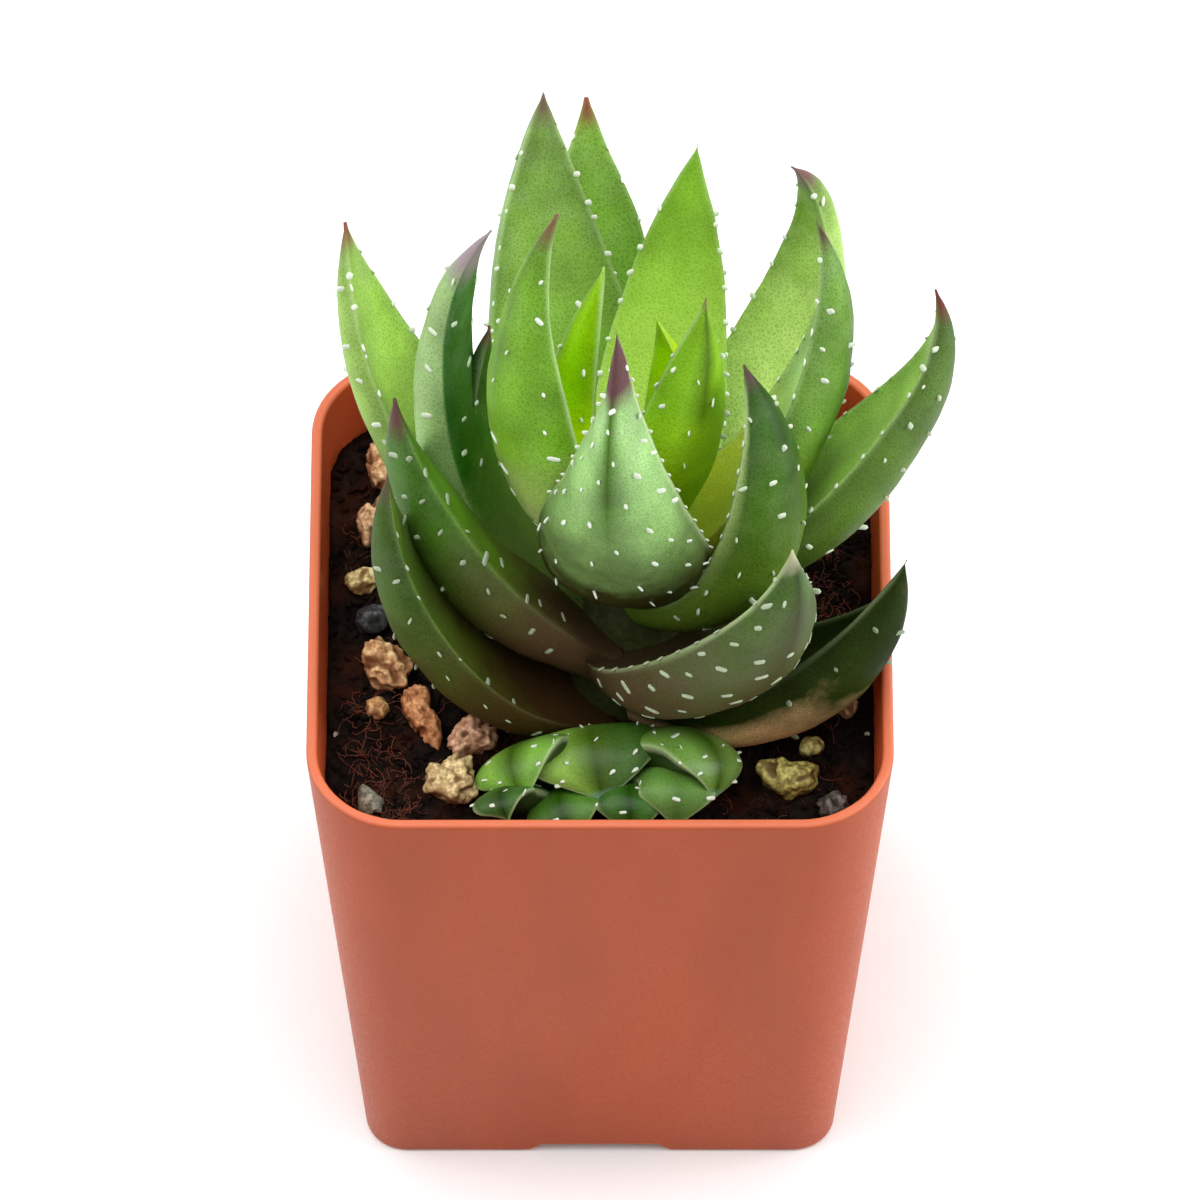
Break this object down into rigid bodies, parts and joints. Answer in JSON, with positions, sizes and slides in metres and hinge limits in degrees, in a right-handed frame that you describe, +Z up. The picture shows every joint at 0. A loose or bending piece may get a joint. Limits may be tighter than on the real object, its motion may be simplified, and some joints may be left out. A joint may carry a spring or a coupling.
{
  "type": "potted haworthia",
  "caption": "Haworthia rosette with pointed, white-spotted leaves and an offset pup, growing in soil with grit in a square terracotta-coloured nursery pot.",
  "frame": {"origin": "on the ground, in the middle of the pot's flat foot", "axes": "+Z up along the height; the pictured side faces -Y, with +X to its right"},
  "size_m": [0.0572, 0.0627, 0.1096],
  "materials": {
    "pot_plastic": "satin terracotta-coloured plastic",
    "soil_mix": "dark damp potting mix",
    "pumice": "rough tan and yellowish pumice and grit",
    "dark_stone": "dark grey grit",
    "husk": "dry husk",
    "stem_skin": "short stem wrapped by old leaf bases",
    "leaf_green": "waxy mid-green skin with white tubercles",
    "leaf_bright": "waxy bright green skin with white tubercles",
    "leaf_dark": "waxy dark green skin, brown at the foot, with white tubercles",
    "pup_leaf": "glossy green skin with darker windows and white tubercles"
  },
  "bodies": {
    "root": {"pot": "pot_plastic", "rosette_stem": "stem_skin", "leaf_heart_right": "leaf_bright", "leaf_heart_back": "leaf_bright", "leaf_heart_left": "leaf_bright", "leaf_inner_left": "leaf_green", "leaf_right_upper": "leaf_green", "leaf_front_spade": "leaf_green", "leaf_right_wide": "leaf_green", "leaf_front_right": "leaf_green", "leaf_back_right": "leaf_bright", "leaf_left_behind": "leaf_dark", "leaf_right_hooked": "leaf_green", "leaf_back_left": "leaf_green", "leaf_left_far": "leaf_green", "leaf_left_upper": "leaf_green", "leaf_front_low": "leaf_green", "leaf_left_low": "leaf_green", "leaf_back_mid": "leaf_green", "leaf_rear_right": "leaf_dark", "leaf_rear_left": "leaf_dark", "leaf_right_lowest": "leaf_dark", "leaf_left_lowest": "leaf_dark", "pup_stem": "stem_skin", "pup_leaf_heart_left": "pup_leaf", "pup_leaf_heart_mid": "pup_leaf", "pup_leaf_heart_right": "pup_leaf", "pup_leaf_back": "pup_leaf", "pup_leaf_left": "pup_leaf", "pup_leaf_right": "pup_leaf", "pup_leaf_low": "pup_leaf", "stone_left_back": "pumice", "stone_left_rear": "pumice", "stone_left_pale": "pumice", "stone_left_dark": "dark_stone", "stone_left_large": "pumice", "stone_left_small": "pumice", "stone_left_long": "pumice", "stone_front_pink": "pumice", "stone_front_left": "pumice", "stone_front_right": "pumice", "stone_right_small": "pumice", "stone_right_tan": "pumice", "stone_right_corner": "pumice", "husk_chip": "husk", "soil": "soil_mix"}
  },
  "joints": []
}
